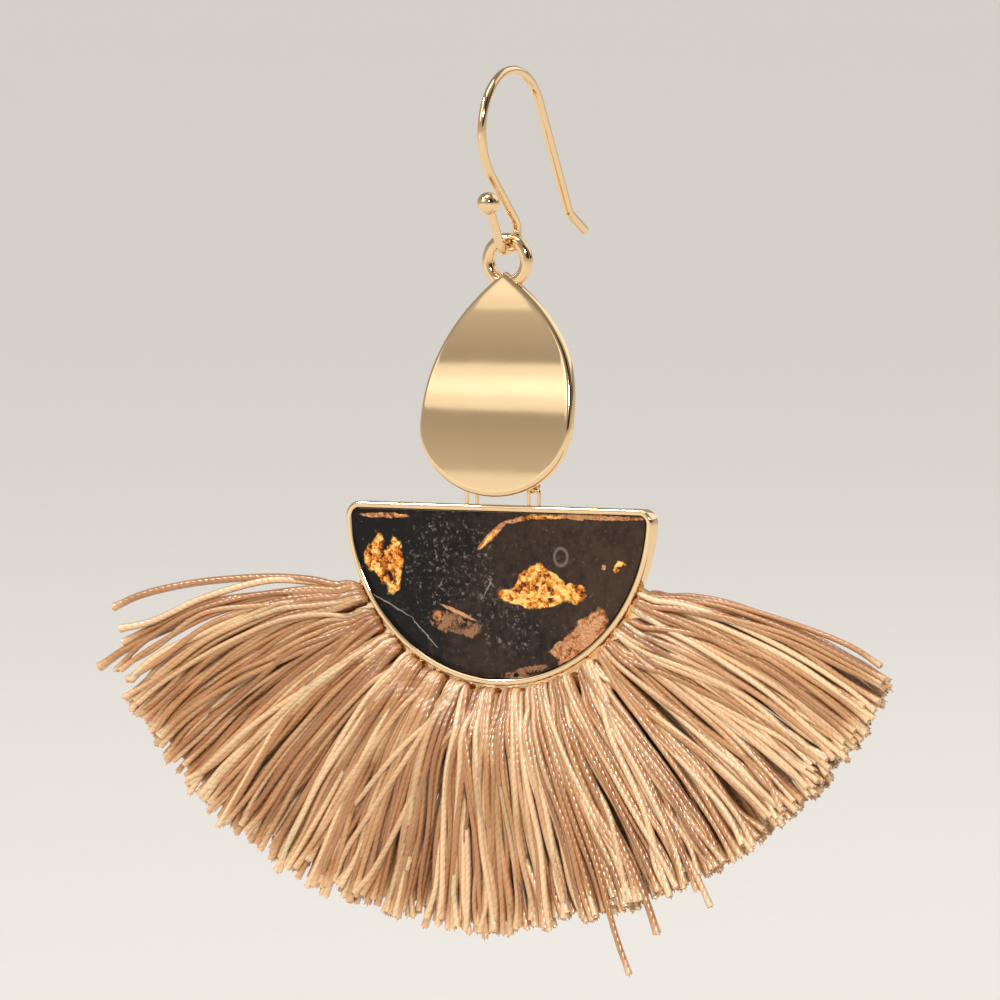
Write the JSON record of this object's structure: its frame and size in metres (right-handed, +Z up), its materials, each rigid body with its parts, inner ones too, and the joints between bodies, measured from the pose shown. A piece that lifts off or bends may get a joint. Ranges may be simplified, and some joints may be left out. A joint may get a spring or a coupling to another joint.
{
  "type": "tassel earring",
  "caption": "Hook earring whose waved teardrop plate carries a half-moon bezel of dark foil resin with a fan of threads.",
  "frame": {"origin": "underside of the ear wire's arch, where it rests in the pierced lobe", "axes": "+X to the right of the drop's front, +Y backward through the ear wire, +Z up"},
  "size_m": [0.0799, 0.0185, 0.0763],
  "materials": {
    "gold_wire": "polished",
    "gold_plate": "polished",
    "dark_resin": "gloss",
    "rayon_thread": "satin"
  },
  "bodies": {
    "wire": {"ear_wire": "gold_wire"},
    "drop": {"teardrop_plate": "gold_plate"},
    "fan": {"link_left": "gold_wire", "link_right": "gold_wire", "half_moon_bezel": "gold_plate", "resin_inlay": "dark_resin", "fringe": "rayon_thread"}
  },
  "joints": [
    {"name": "drop_swing", "type": "hinge", "parent": "wire", "child": "drop", "pos_m": [0, -0.00085, -0.01535], "axis": [0, 1, 0], "range_deg": [-75, 75]},
    {"name": "fan_swing", "type": "hinge", "parent": "drop", "child": "fan", "pos_m": [0, -0.00163, -0.03499], "axis": [1, 0, 0], "range_deg": [-15, 70]}
  ]
}
